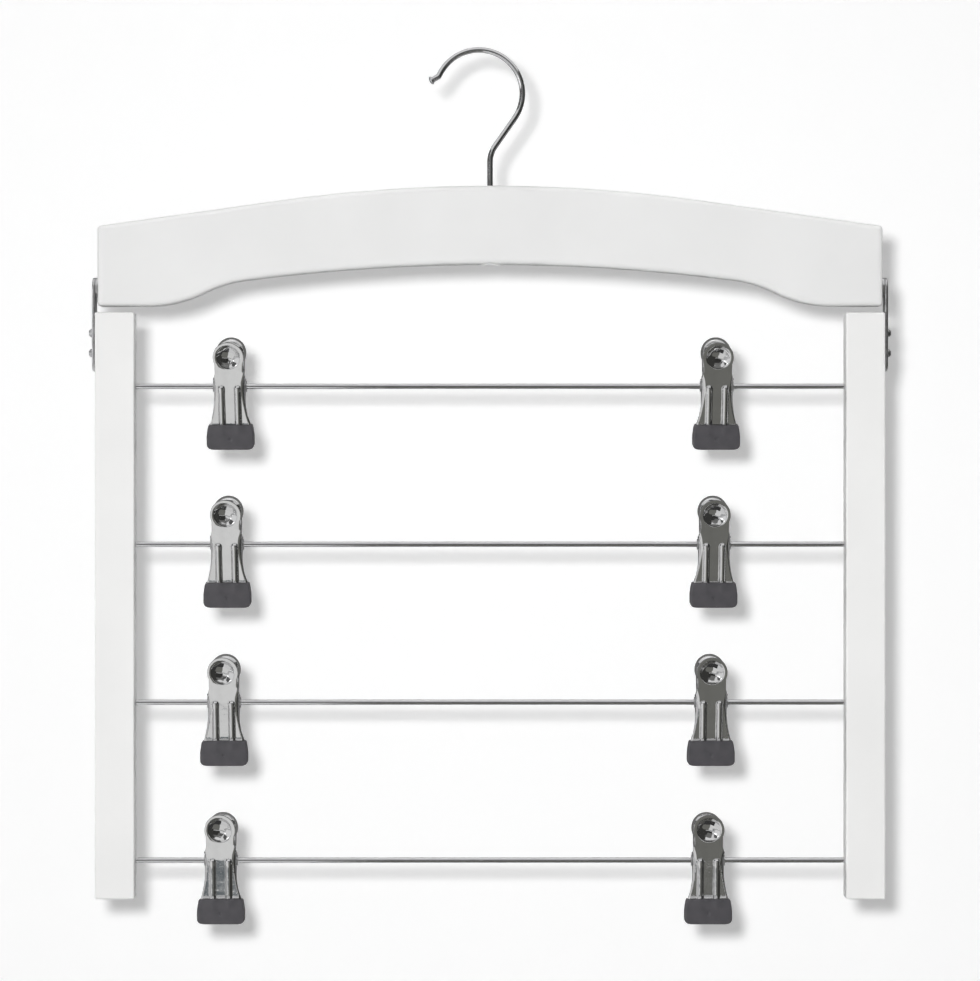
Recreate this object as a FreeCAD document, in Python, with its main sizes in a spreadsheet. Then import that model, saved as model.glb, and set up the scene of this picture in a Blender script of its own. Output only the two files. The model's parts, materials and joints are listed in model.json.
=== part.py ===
import FreeCAD, Part
import math
import os

import Sketcher

# Multi-tier clip hanger, in millimetres.
# X runs along the crossbar, Y to the back, Z up.
# The origin is on the hook's turning axis, where a rail touches the inside of the hook.

SIZES = {
    # crossbar
    "bar_length": 360,
    "bar_depth": 12,
    "bar_height": 36,
    "bar_drop": 60.7,
    "bar_round": 2.6,
    "shoulder_slope": 8,
    "shoulder_run": 83.5,
    "foot_length": 23.1,
    "arch_slope": 7.5,
    "haunch_slope": 26.8,
    "haunch_radius": 57.6,
    # hook
    "hook_wire": 2.6,
    "hook_radius": 20,
    "hook_offset": 5.1,
    "hook_lean": 35,
    "hook_bend": 12.8,
    "hook_end": 155.4,
    "hook_kick": 37,
    "kick_bend": 1.8,
    "kick_run": 3.2,
    "hook_head": 5.2,
    "counterbore": 10,
    "counterbore_depth": 7,
    "washer_height": 1,
    # posts and rods
    "post_width": 18,
    "post_depth": 12,
    "post_length": 269,
    "post_round": 0.9,
    "post_gap": 2.8,
    "rod_wire": 2.5,
    "rod_seat": 10,
    "first_tier": 33.9,
    "last_tier": 17.3,
    # straps and their screws
    "strap_width": 9,
    "strap_sheet": 1.5,
    "strap_round": 0.6,
    "strap_reach": 38.6,
    "pivot_rise": 8.7,
    "pivot_shank": 4,
    "pivot_head": 6.4,
    "pivot_length": 14.4,
    "spacer": 1,
    "screw_shank": 2.4,
    "screw_head": 4.2,
    "screw_dome": 2,
    "screw_length": 10.8,
    "screw_drop": 20.9,
    "screw_pitch": 9.2,
    "pilot_room": 2,
    # clips
    "clip_left": 43.5,
    "clip_right": 58.8,
    "clip_stagger": 1.35,
    "clip_lean": 9.6,
    "lean_step": 3.8,
    "jaw_sheet": 0.8,
    "jaw_slope": 9,
    "pad_slope": 16,
    "pad_radius": 7.05,
    "pad_rise": 14.25,
    "dish_radius": 5.8,
    "dish_depth": 2.6,
    "neck_width": 12.9,
    "ear_face": 7.2,
    "ear_wall": 1.18,
    "flare_width": 18.4,
    "rib_pitch": 7.4,
    "rib_radius": 1.6,
    "rib_height": 1,
    "rib_rise": 1.2,
    "rib_end": 24.3,
    "tip_wall": 1.25,
    "tip_top": 17.5,
    "tip_end": 29.1,
    "tip_width": 21.8,
    "tip_corner": 2,
    "grip_gap": 0.2,
    "rivet_wall": 0.4,
    "rivet_flange": 0.88,
    "spring_wire": 1.1,
    "spring_clearance": 0.33,
    "coil_gap": 0.1,
    "spring_reach": 7.95,
    # clearances of turning and sliding fits, on the radius
    "running_fit": 0.07,
    "face_fit": 0.06,
}

TIERS = (0, 1, 2, 3)


class Size:
    """A number together with the spreadsheet formula that it comes from."""

    def __init__(self, value, formula):
        self.value = value
        self.formula = formula

    def __add__(self, other):
        other = as_size(other)
        return Size(self.value + other.value, f"({self.formula} + {other.formula})")

    def __sub__(self, other):
        other = as_size(other)
        return Size(self.value - other.value, f"({self.formula} - {other.formula})")

    def __mul__(self, other):
        other = as_size(other)
        return Size(self.value * other.value, f"({self.formula} * {other.formula})")

    def __truediv__(self, other):
        other = as_size(other)
        return Size(self.value / other.value, f"({self.formula} / {other.formula})")

    def __neg__(self):
        return self * -1

    def __radd__(self, other):
        return as_size(other) + self

    def __rsub__(self, other):
        return as_size(other) - self

    def __rmul__(self, other):
        return as_size(other) * self


def as_size(number):
    if isinstance(number, Size):
        return number
    return Size(number, f"({number})")


def sine(angle):
    return Size(math.sin(math.radians(angle.value)), f"sin({angle.formula} * 1 deg)")


def cosine(angle):
    return Size(math.cos(math.radians(angle.value)), f"cos({angle.formula} * 1 deg)")


def tangent(angle):
    return Size(math.tan(math.radians(angle.value)), f"tan({angle.formula} * 1 deg)")


def root(square):
    return Size(math.sqrt(square.value), f"sqrt({square.formula})")


def arc_sine(ratio):
    return Size(math.degrees(math.asin(ratio.value)), f"(asin({ratio.formula}) / 1 deg)")


class Sheet:
    """The driving dimensions, each one a named cell."""

    def __init__(self, document):
        self.cells = document.addObject("Spreadsheet::Sheet", "Sizes")
        for row, (name, number) in enumerate(SIZES.items(), start=1):
            self.cells.set(f"A{row}", name)
            self.cells.set(f"B{row}", str(number))
            self.cells.setAlias(f"B{row}", name)
            setattr(self, name, Size(number, f"Sizes.{name}"))


doc = FreeCAD.newDocument("clip_hanger")
size = Sheet(doc)
doc.recompute()

# Heights of the main features, from the origin
bar_top = -size.bar_drop
bar_under = bar_top - size.bar_height
bar_end = size.bar_length / 2
foot_start = bar_end - size.foot_length
haunch_middle = foot_start - size.haunch_radius * sine(size.haunch_slope)
arch_half = haunch_middle - size.haunch_radius * (sine(size.haunch_slope) - sine(size.arch_slope))
arch_radius = arch_half / sine(size.arch_slope)
arch_rise = arch_radius * (1 - cosine(size.arch_slope))
haunch_rise = size.haunch_radius * (1 + cosine(size.arch_slope) - 2 * cosine(size.haunch_slope))
foot_level = bar_under - arch_rise - haunch_rise
pivot_level = foot_level + size.pivot_rise
post_top = foot_level - size.post_gap
post_face = bar_end + size.spacer
post_inside = post_face - size.post_width
tier_pitch = (size.post_length - size.first_tier - size.last_tier) / 3


def tier_level(tier):
    return post_top - size.first_tier - tier_pitch * tier


# Lines of the bent jaw sheet, as distances out from the middle of the clip
jaw_foot = size.grip_gap / 2 + size.tip_wall + size.jaw_sheet
jaw_bend = 2
pad_top = size.pad_rise + size.pad_radius
plate_end = size.tip_end - size.tip_wall


def lower_plate(height):
    """How far out the lower half of a jaw's outer face is at a height above the rod."""
    return jaw_foot + (size.tip_top + height) * tangent(size.jaw_slope)


def upper_plate(height):
    """The same for the upper half, which leans out further."""
    return lower_plate(jaw_bend) + (height - jaw_bend) * tangent(size.pad_slope)


# Drawing helpers

class LineTo:
    """A straight side that ends at a point."""

    radius = None

    def __init__(self, x, y):
        self.x = as_size(x)
        self.y = as_size(y)

    def point(self):
        return FreeCAD.Vector(self.x.value, self.y.value, 0)

    def edge_from(self, before):
        """The side itself, and which of its ends comes first and last."""
        return Part.LineSegment(before.point(), self.point()), 1, 2


class ArcTo(LineTo):
    """A round side that ends at a point, turning left or right on the way."""

    def __init__(self, x, y, radius, turn, over_half=False):
        super().__init__(x, y)
        self.radius = as_size(radius)
        self.left = turn == "left"
        self.over_half = over_half

    def edge_from(self, before):
        start, end = before.point(), self.point()
        chord = end - start
        reach = math.sqrt(max(self.radius.value ** 2 - (chord.Length / 2) ** 2, 0))
        across = FreeCAD.Vector(-chord.y, chord.x, 0).normalize()
        if self.left == self.over_half:
            across = -across
        middle = (start + end) / 2 + across * reach
        first, last = (start, end) if self.left else (end, start)
        angles = [math.atan2(p.y - middle.y, p.x - middle.x) for p in (first, last)]
        if angles[1] < angles[0]:
            angles[1] += 2 * math.pi
        circle = Part.Circle(middle, FreeCAD.Vector(0, 0, 1), self.radius.value)
        arc = Part.ArcOfCircle(circle, angles[0], angles[1])
        return (arc, 1, 2) if self.left else (arc, 2, 1)


def bind(sketch, constraint, amount):
    """Add a constraint and tie it to the formula of its amount."""
    index = sketch.addConstraint(constraint)
    sketch.setExpression(f"Constraints[{index}]", amount.formula)


def pin(sketch, edge, end, x, y):
    """Hold one end of an edge at a place measured from the sketch's origin."""
    bind(sketch, Sketcher.Constraint("DistanceX", -1, 1, edge, end, x.value), x)
    bind(sketch, Sketcher.Constraint("DistanceY", -1, 1, edge, end, y.value), y)


def trace(sketch, steps, closed=True):
    """Draw a chain of straight and round sides."""
    before = steps[-1] if closed else steps[0]
    chain = []
    for step in steps if closed else steps[1:]:
        geometry, first, last = step.edge_from(before)
        edge = sketch.addGeometry(geometry, False)
        if step.radius:
            bind(sketch, Sketcher.Constraint("Radius", edge, step.radius.value), step.radius)
        if chain:
            sketch.addConstraint(Sketcher.Constraint("Coincident", chain[-1][0], chain[-1][1], edge, first))
        else:
            opening = edge, first
        chain.append((edge, last, step))
        before = step
    if closed:
        sketch.addConstraint(Sketcher.Constraint("Coincident", chain[-1][0], chain[-1][1], *opening))
    else:
        pin(sketch, *opening, steps[0].x, steps[0].y)
    for edge, last, step in chain:
        pin(sketch, edge, last, step.x, step.y)


def ring(sketch, x, y, diameter):
    """Draw a circle."""
    x, y, diameter = as_size(x), as_size(y), as_size(diameter)
    middle = FreeCAD.Vector(x.value, y.value, 0)
    edge = sketch.addGeometry(Part.Circle(middle, FreeCAD.Vector(0, 0, 1), diameter.value / 2), False)
    pin(sketch, edge, 3, x, y)
    bind(sketch, Sketcher.Constraint("Diameter", edge, diameter.value), diameter)


def new_body(label):
    body = doc.addObject("PartDesign::Body", label)
    body.Label = label
    return body


def new_sketch(body, plane, offset=None):
    """A sketch on one of the body's own planes, or at an offset along that plane's normal."""
    sketch = body.newObject("Sketcher::SketchObject", "Sketch")
    support = [f for f in body.Origin.OriginFeatures if f.Role == plane]
    sketch.AttachmentSupport = [(support[0], "")]
    sketch.MapMode = "FlatFace"
    if offset is not None:
        sketch.setExpression("AttachmentOffset.Base.z", offset.formula)
    return sketch


def pad(body, sketch, length):
    """Material on both sides of the sketch, length in all."""
    feature = body.newObject("PartDesign::Pad", "Pad")
    feature.Profile = sketch
    feature.SideType = "Symmetric"
    feature.setExpression("Length", as_size(length).formula)
    doc.recompute()
    return feature


def pocket(body, sketch, length):
    """A cut to both sides of the sketch, length in all."""
    before = body.Shape.Volume
    feature = body.newObject("PartDesign::Pocket", "Pocket")
    feature.Profile = sketch
    feature.SideType = "Symmetric"
    feature.setExpression("Length", as_size(length).formula)
    doc.recompute()
    if body.Shape.Volume >= before:
        raise RuntimeError(f"a cut in {body.Label} removes nothing")
    return feature


def revolve(body, sketch, axis):
    """A full turn of the sketch about its own horizontal or vertical axis."""
    feature = body.newObject("PartDesign::Revolution", "Revolution")
    feature.Profile = sketch
    feature.ReferenceAxis = (sketch, [axis])
    feature.Angle = 360
    doc.recompute()
    return feature


def primitive(body, kind, place, turn, **amounts):
    """A ball, cylinder or ellipsoid that is added or taken away, turned about X."""
    feature = body.newObject(f"PartDesign::{kind}", kind)
    for name, amount in amounts.items():
        feature.setExpression(name, as_size(amount).formula)
    set_place(feature, place, turn)
    doc.recompute()
    return feature


def set_place(thing, place, turn=None, axis=FreeCAD.Vector(1, 0, 0)):
    """Put an object at a place and turn it about an axis, both bound to their formulas."""
    place = [as_size(amount) for amount in place]
    turn = as_size(0) if turn is None else as_size(turn)
    where = FreeCAD.Vector(*[amount.value for amount in place])
    thing.Placement = FreeCAD.Placement(where, FreeCAD.Rotation(axis, turn.value))
    for letter, amount in zip("xyz", place):
        thing.setExpression(f"Placement.Base.{letter}", amount.formula)
    if turn.value:
        thing.setExpression("Placement.Rotation.Angle", f"{turn.formula} * 1 deg")


def soften(body, edges, radius):
    """Round the named edges of the body's last feature."""
    base = body.Tip
    feature = body.newObject("PartDesign::Fillet", "Fillet")
    feature.Base = (base, edges)
    feature.setExpression("Radius", as_size(radius).formula)
    doc.recompute()
    return feature


def edges_where(body, wanted):
    """Names of the body's edges that a test picks."""
    return [f"Edge{n}" for n, edge in enumerate(body.Shape.Edges, start=1) if wanted(edge)]


def linked(pattern, label, place, turn=None):
    """A placed copy of a piece that the hanger has several of."""
    copy = doc.addObject("App::Link", label)
    copy.LinkedObject = pattern
    copy.Label = label
    set_place(copy, place, turn)
    return copy


def gather(label, pieces):
    """One group of separate solids."""
    group = doc.addObject("Part::Compound", label)
    group.Label = label
    group.Links = pieces
    return group


# Crossbar

def bar_outline():
    """Arched top with straight shoulders, and an underside that drops at the haunches to level feet.

    The arch is three arcs of one circle, because the rounded edge of a shorter arc is meshed more evenly.
    """
    crown_half = bar_end - size.shoulder_run
    crown_radius = crown_half / sine(size.shoulder_slope)
    crown_edge = bar_top - crown_radius * (1 - cosine(size.shoulder_slope))
    end_top = crown_edge - (bar_end - crown_half) * tangent(size.shoulder_slope)
    arch_edge = bar_under - arch_rise
    third_half = arch_radius * sine(size.arch_slope / 3)
    third_edge = bar_under - arch_radius * (1 - cosine(size.arch_slope / 3))
    middle_level = foot_level + size.haunch_radius * (1 - cosine(size.haunch_slope))
    return [
        LineTo(-crown_half, crown_edge),
        ArcTo(crown_half, crown_edge, crown_radius, "right"),
        LineTo(bar_end, end_top),
        LineTo(bar_end, foot_level),
        LineTo(foot_start, foot_level),
        ArcTo(haunch_middle, middle_level, size.haunch_radius, "right"),
        ArcTo(arch_half, arch_edge, size.haunch_radius, "left"),
        ArcTo(third_half, third_edge, arch_radius, "left"),
        ArcTo(-third_half, third_edge, arch_radius, "left"),
        ArcTo(-arch_half, arch_edge, arch_radius, "left"),
        ArcTo(-haunch_middle, middle_level, size.haunch_radius, "left"),
        ArcTo(-foot_start, foot_level, size.haunch_radius, "right"),
        LineTo(-bar_end, foot_level),
        LineTo(-bar_end, end_top),
    ]


def make_crossbar():
    body = new_body("crossbar")
    front = new_sketch(body, "XZ_Plane")
    trace(front, bar_outline())
    pad(body, front, size.bar_depth)
    ends = edges_where(body, lambda e: abs(abs(e.CenterOfMass.x) - bar_end.value) < 0.01 and on_middle(e))
    soften(body, ends, size.bar_round * 0.7)
    faces = edges_where(body, lambda e: abs(abs(e.CenterOfMass.y) - size.bar_depth.value / 2) < 0.01)
    soften(body, faces, size.bar_round)
    bore = new_sketch(body, "XY_Plane", bar_under)
    ring(bore, 0, 0, size.hook_wire + 2 * size.running_fit)
    pocket(body, bore, 3 * size.bar_height)
    recess = new_sketch(body, "XY_Plane", bar_under)
    ring(recess, 0, 0, size.counterbore)
    pocket(body, recess, 2 * size.counterbore_depth)
    for side in (-1, 1):
        pilot = new_sketch(body, "YZ_Plane", side * bar_end)
        ring(pilot, 0, pivot_level, size.pivot_shank * 0.75 + 2 * size.running_fit)
        pocket(body, pilot, 2 * (size.pivot_length + size.pilot_room))
    return body


def on_middle(edge):
    """True for an edge that runs straight across the depth of the object."""
    return abs(edge.CenterOfMass.y) < 0.01 and edge.BoundBox.YLength > 1


# Hook

def hook_path():
    """Stem, lower bend, slanting run, round crown and outward kick, as one bent wire."""
    lean, radius, bend = size.hook_lean, size.hook_radius, size.hook_bend
    inside = radius - size.hook_wire / 2
    centre_x = -size.hook_offset
    centre_z = -root(inside * inside - size.hook_offset * size.hook_offset)
    run_end_x = centre_x + radius * cosine(lean)
    run_end_z = centre_z - radius * sine(lean)
    bend_x = bend * (1 - cosine(lean))
    run = (run_end_x - bend_x) / sine(lean)
    stem_top = run_end_z - run * cosine(lean) - bend * sine(lean)
    end_x = centre_x + radius * cosine(size.hook_end)
    end_z = centre_z + radius * sine(size.hook_end)
    kicked = size.hook_end - size.hook_kick
    kick_x = centre_x + (radius + size.kick_bend) * cosine(size.hook_end) - size.kick_bend * cosine(kicked)
    kick_z = centre_z + (radius + size.kick_bend) * sine(size.hook_end) - size.kick_bend * sine(kicked)
    tip_x = kick_x - size.kick_run * sine(kicked)
    tip_z = kick_z + size.kick_run * cosine(kicked)
    return [
        LineTo(0, stem_foot()),
        LineTo(0, stem_top),
        ArcTo(bend_x, stem_top + bend * sine(lean), bend, "right"),
        LineTo(run_end_x, run_end_z),
        ArcTo(end_x, end_z, radius, "left", over_half=True),
        ArcTo(kick_x, kick_z, size.kick_bend, "right"),
        LineTo(tip_x, tip_z),
    ]


def stem_foot():
    """Underside of the washer in the counterbore, where the stem's upset head bears."""
    return bar_under + size.counterbore_depth - size.washer_height - size.face_fit


def make_hook():
    body = new_body("hook")
    path = new_sketch(body, "XZ_Plane")
    steps = hook_path()
    trace(path, steps, closed=False)
    section = new_sketch(body, "XY_Plane", stem_foot())
    ring(section, 0, 0, size.hook_wire)
    doc.recompute()
    wire = body.newObject("PartDesign::AdditivePipe", "Wire")
    wire.Profile = section
    wire.Spine = (path, [f"Edge{n}" for n in range(1, len(steps))])
    doc.recompute()
    head_height = size.hook_wire * 0.7
    foot = new_sketch(body, "XY_Plane", stem_foot() - head_height / 2)
    ring(foot, 0, 0, size.hook_head)
    pad(body, foot, head_height)
    kicked = size.hook_end - size.hook_kick
    button = body.newObject("PartDesign::AdditiveEllipsoid", "Button")
    button.setExpression("Radius1", (size.hook_wire * 0.36).formula)
    button.setExpression("Radius2", (size.hook_wire * 0.75).formula)
    button.setExpression("Radius3", (size.hook_wire * 0.75).formula)
    set_place(button, (steps[-1].x, 0, steps[-1].y), -kicked, FreeCAD.Vector(0, 1, 0))
    doc.recompute()
    return body


# Posts and rods

def make_post(label, side):
    body = new_body(label)
    section = new_sketch(body, "XY_Plane", post_top - size.post_length / 2)
    half = size.post_depth / 2
    inner, outer = side * post_inside, side * post_face
    left, right = (inner, outer) if side > 0 else (outer, inner)
    trace(section, [LineTo(left, -half), LineTo(right, -half), LineTo(right, half), LineTo(left, half)])
    pad(body, section, size.post_length)
    soften(body, edges_where(body, lambda e: True), size.post_round)
    seat = new_sketch(body, "YZ_Plane", inner)
    ring(seat, 0, tier_level(0), size.rod_wire + 2 * size.running_fit)
    hole = pocket(body, seat, 2 * size.rod_seat)
    repeat_down(body, hole, seat, 3 * tier_pitch, 4)
    pilot = new_sketch(body, "YZ_Plane", outer)
    ring(pilot, 0, pivot_level - size.screw_drop, size.screw_shank + 2 * size.running_fit)
    hole = pocket(body, pilot, 2 * (size.screw_length + size.pilot_room))
    repeat_down(body, hole, pilot, size.screw_pitch, 2)
    return body


def repeat_down(body, feature, sketch, length, count):
    """The same hole again at even steps down the post."""
    row = body.newObject("PartDesign::LinearPattern", "Row")
    row.Originals = [feature]
    row.Direction = (sketch, ["V_Axis"])
    row.Reversed = True
    row.setExpression("Length", as_size(length).formula)
    row.Occurrences = count
    body.Tip = row
    doc.recompute()


def make_rod(tier):
    rod = doc.addObject("Part::Cylinder", f"rod_{tier + 1}")
    rod.Label = f"rod_{tier + 1}"
    half = post_inside + size.rod_seat - 0.2
    rod.setExpression("Radius", (size.rod_wire / 2).formula)
    rod.setExpression("Height", (2 * half).formula)
    set_place(rod, (-half, 0, tier_level(tier)), 90, FreeCAD.Vector(0, 1, 0))
    return rod


# Straps, screws and washers

def make_strap(label, side):
    """Flat strip with round ends and tumbled edges, a countersunk pivot hole and two screw holes."""
    body = new_body(label)
    plate = new_sketch(body, "YZ_Plane", side * (post_face + size.strap_sheet / 2))
    half = size.strap_width / 2
    low = pivot_level - size.strap_reach + half
    trace(plate, [
        LineTo(half, pivot_level),
        ArcTo(0, pivot_level + half, half, "left"),
        ArcTo(-half, pivot_level, half, "left"),
        LineTo(-half, low),
        ArcTo(0, low - half, half, "left"),
        ArcTo(half, low, half, "left"),
    ])
    ring(plate, 0, pivot_level, size.pivot_shank + 2 * size.running_fit)
    for count in (0, 1):
        level = pivot_level - size.screw_drop - size.screw_pitch * count
        ring(plate, 0, level, size.screw_shank + 4 * size.running_fit)
    plate_pad = pad(body, plate, size.strap_sheet)
    rim = edges_where(body, lambda e: is_pivot_rim(e, side))
    sink = body.newObject("PartDesign::Chamfer", "Countersink")
    sink.Base = (plate_pad, rim)
    sink.setExpression("Size", (size.pivot_head / 2 - size.pivot_shank / 2).formula)
    body.Tip = sink
    doc.recompute()
    soften(body, edges_where(body, is_strap_outline), size.strap_round)
    return body


def is_strap_outline(edge):
    """True for the strap's outline on its inner and outer faces; the rims of its holes are centred."""
    middle = edge.CenterOfMass
    from_centre = abs(abs(middle.x) - (post_face + size.strap_sheet / 2).value)
    on_face = abs(from_centre - size.strap_sheet.value / 2) < 0.01
    return on_face and abs(middle.y) > size.strap_width.value / 4


def is_pivot_rim(edge, side):
    """True for the outer rim of the strap's pivot hole."""
    middle = edge.CenterOfMass
    outside = abs(middle.x - side * (post_face + size.strap_sheet).value) < 0.01
    small = edge.BoundBox.ZLength < size.strap_width.value * 0.7
    return outside and small and abs(middle.z - pivot_level.value) < 0.01


def make_pivot_screw():
    """Flush shoulder screw, drawn along X with the end face of the bar at the origin."""
    body = new_body("pivot_screw")
    half = new_sketch(body, "XZ_Plane")
    shank, neck = size.pivot_shank / 2, size.pivot_shank * 0.375
    face = size.spacer + size.strap_sheet
    head = size.pivot_head / 2 - size.running_fit
    length = size.pivot_length
    trace(half, [
        LineTo(-length, 0),
        LineTo(face, 0),
        LineTo(face, head),
        LineTo(face - (head - shank), shank),
        LineTo(0, shank),
        LineTo(0, neck),
        LineTo(neck * 2 - length, neck),
    ])
    revolve(body, half, "H_Axis")
    cross_recess(body, face, size.pivot_head * 0.62, size.strap_sheet * 0.8)
    return body


def make_strap_screw():
    """Domed screw, drawn along X with the outer face of the strap at the origin."""
    body = new_body("strap_screw")
    half = new_sketch(body, "XZ_Plane")
    shank, head = size.screw_shank / 2, size.screw_head / 2
    length = size.screw_length
    dome = (size.screw_dome * size.screw_dome + head * head) / (2 * size.screw_dome)
    trace(half, [
        LineTo(-length, 0),
        LineTo(size.screw_dome, 0),
        ArcTo(0, head, dome, "left"),
        LineTo(0, shank),
        LineTo(shank * 2 - length, shank),
    ])
    revolve(body, half, "H_Axis")
    cross_recess(body, size.screw_dome, size.screw_head * 0.6, size.screw_dome * 0.9)
    return body


def cross_recess(body, face, width, depth):
    """A cross-shaped driver recess in the face of a screw head."""
    cross = new_sketch(body, "YZ_Plane", face)
    arm, long = width * 0.13, width / 2
    trace(cross, [
        LineTo(arm, -long), LineTo(arm, -arm), LineTo(long, -arm), LineTo(long, arm),
        LineTo(arm, arm), LineTo(arm, long), LineTo(-arm, long), LineTo(-arm, arm),
        LineTo(-long, arm), LineTo(-long, -arm), LineTo(-arm, -arm), LineTo(-arm, -long),
    ])
    pocket(body, cross, 2 * depth)


def make_washer(label, outside, inside, height):
    """A flat ring about X, with its inner face at the origin."""
    body = new_body(label)
    flat = new_sketch(body, "YZ_Plane", height / 2)
    ring(flat, 0, 0, outside)
    ring(flat, 0, 0, inside)
    pad(body, flat, height)
    return body


def fasteners_of_crossbar():
    """Pivot screws and spacer washers at both ends, and the washer over the hook's upset head."""
    screw = make_pivot_screw()
    spacer = make_washer(
        "spacer_washer", size.strap_width, size.pivot_shank + size.running_fit, size.spacer - size.face_fit
    )
    hook_washer = make_washer(
        "hook_washer", size.counterbore * 0.9, size.hook_wire + 2 * size.running_fit, size.washer_height
    )
    set_place(hook_washer, (0, 0, bar_under + size.counterbore_depth), 90, FreeCAD.Vector(0, 1, 0))
    pieces = [hook_washer]
    for side, name in ((-1, "left"), (1, "right")):
        for pattern in (screw, spacer):
            copy = linked(pattern, f"{name}_{pattern.Label}", (side * bar_end, 0, pivot_level))
            face_side(copy, side)
            pieces.append(copy)
    return gather("crossbar_fasteners", pieces)


def screws_of_straps():
    screw = make_strap_screw()
    pieces = []
    for side, name in ((-1, "left"), (1, "right")):
        for count in (0, 1):
            level = pivot_level - size.screw_drop - size.screw_pitch * count
            outside = side * (post_face + size.strap_sheet)
            copy = linked(screw, f"{name}_strap_screw_{count + 1}", (outside, 0, level))
            face_side(copy, side)
            pieces.append(copy)
    return gather("strap_screws", pieces)


def face_side(copy, side):
    """Turn a piece that is drawn for the right end so that it fits the left end too."""
    if side < 0:
        where = copy.Placement.Base
        copy.Placement = FreeCAD.Placement(where, FreeCAD.Rotation(FreeCAD.Vector(0, 0, 1), 180))


# Clips, drawn with the rod's axis along X through the origin

def jaw_sheet_outline(side):
    """Side view of the bent sheet: upright at the tip, leaning out to the bend, then further to the pad."""
    thick = size.jaw_sheet
    bend = lower_plate(jaw_bend)
    top = upper_plate(pad_top)
    return [
        LineTo(side * jaw_foot, -plate_end),
        LineTo(side * jaw_foot, -size.tip_top),
        LineTo(side * bend, jaw_bend),
        LineTo(side * top, pad_top),
        LineTo(side * (top - thick / cosine(size.pad_slope)), pad_top),
        LineTo(side * (bend - thick / cosine(size.jaw_slope)), jaw_bend),
        LineTo(side * (jaw_foot - thick), -size.tip_top),
        LineTo(side * (jaw_foot - thick), -plate_end),
    ]


def jaw_front_outline(shoulder):
    """Front view: round thumb pad, neck, shoulders at the ears and a flared end."""
    neck = size.neck_width / 2
    flare = size.flare_width / 2
    pad_low = size.pad_rise - root(size.pad_radius * size.pad_radius - neck * neck)
    waist = size.tip_top / 3
    fall = size.tip_top - waist
    flare_radius = (fall * fall + (flare - shoulder) * (flare - shoulder)) / (2 * (flare - shoulder))
    return [
        LineTo(-neck, pad_low),
        ArcTo(neck, pad_low, size.pad_radius, "right", over_half=True),
        LineTo(neck, size.pad_rise * 0.6),
        LineTo(shoulder, size.pad_rise * 0.36),
        LineTo(shoulder, -waist),
        ArcTo(flare, -size.tip_top, flare_radius, "left"),
        LineTo(flare, -plate_end),
        LineTo(-flare, -plate_end),
        LineTo(-flare, -size.tip_top),
        ArcTo(-shoulder, -waist, flare_radius, "left"),
        LineTo(-shoulder, size.pad_rise * 0.36),
        LineTo(-neck, size.pad_rise * 0.6),
    ]


def ear_outline(side):
    """Side view of an ear: it grows from the sheet's middle line and wraps round the rivet."""
    boss = rivet_outside() / 2 + size.ear_wall
    middle = size.jaw_sheet / 2
    high, low = size.pad_rise * 0.38, size.tip_top * 0.6
    back = boss * cosine(as_size(20))
    under = boss * sine(as_size(20))
    return [
        LineTo(side * (upper_plate(high) - middle), high),
        LineTo(0, boss),
        ArcTo(-side * back, -under, boss, "right" if side < 0 else "left"),
        LineTo(side * (lower_plate(-low) - middle), -low),
        LineTo(side * (lower_plate(jaw_bend) - middle), jaw_bend),
    ]


def hollow_outline(side):
    """Side view of the room inside a jaw, which keeps the backs of the ribs flush with the sheet."""
    thick = size.jaw_sheet
    bend = lower_plate(jaw_bend) - thick / cosine(size.jaw_slope)
    foot = jaw_foot - thick
    return [
        LineTo(side * bend, jaw_bend),
        LineTo(side * foot, -size.tip_top),
        LineTo(side * foot, -plate_end),
        LineTo(-side * foot, -plate_end),
        LineTo(-side * foot, jaw_bend),
    ]


def make_jaw(label, side, shoulder):
    """A stamped jaw; side -1 is the front one, and shoulder is its outside half width at the ears."""
    body = new_body(label)
    strip = new_sketch(body, "YZ_Plane")
    trace(strip, jaw_sheet_outline(side))
    pad(body, strip, 2 * size.flare_width)
    stamp_front(body, shoulder)
    raise_ribs(body, side)
    sink_dish(body, side)
    for hand in (-1, 1):
        ear = new_sketch(body, "YZ_Plane", hand * (shoulder - size.jaw_sheet / 2))
        trace(ear, ear_outline(side))
        pad(body, ear, size.jaw_sheet)
    eye = new_sketch(body, "YZ_Plane")
    ring(eye, 0, 0, rivet_outside() + 2 * size.running_fit)
    pocket(body, eye, 4 * shoulder)
    return body


def stamp_front(body, shoulder):
    """Trim the bent strip to the jaw's front view."""
    blank = new_sketch(body, "XZ_Plane")
    reach = 2 * size.tip_end
    trace(blank, [LineTo(-reach, -reach), LineTo(reach, -reach), LineTo(reach, reach), LineTo(-reach, reach)])
    trace(blank, jaw_front_outline(shoulder))
    pocket(body, blank, 2 * reach)


def raise_ribs(body, side):
    """Two half-round ribs down the lower half, pressed out of the sheet."""
    inset = size.rib_radius - size.rib_height
    top = size.rib_rise - size.rib_radius
    lean = -side * size.jaw_slope
    run = (top + size.rib_end) / cosine(size.jaw_slope)
    out = lower_plate(top) - inset / cosine(size.jaw_slope)
    low = -size.rib_end
    low_out = out - run * sine(size.jaw_slope)
    for hand in (-1, 1):
        across = hand * size.rib_pitch / 2
        foot = across, side * low_out, low
        crest = across, side * out, top
        primitive(body, "AdditiveCylinder", foot, lean, Radius=size.rib_radius, Height=run)
        primitive(body, "AdditiveSphere", crest, lean, Radius=size.rib_radius)
    room = new_sketch(body, "YZ_Plane")
    trace(room, hollow_outline(side))
    pocket(body, room, size.rib_pitch + 3 * size.rib_radius)
    for hand in (-1, 1):
        across = hand * size.rib_pitch / 2
        hollow = size.rib_radius - size.jaw_sheet
        foot = across, side * low_out, low
        primitive(body, "SubtractiveCylinder", foot, lean, Radius=hollow, Height=run)


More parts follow.
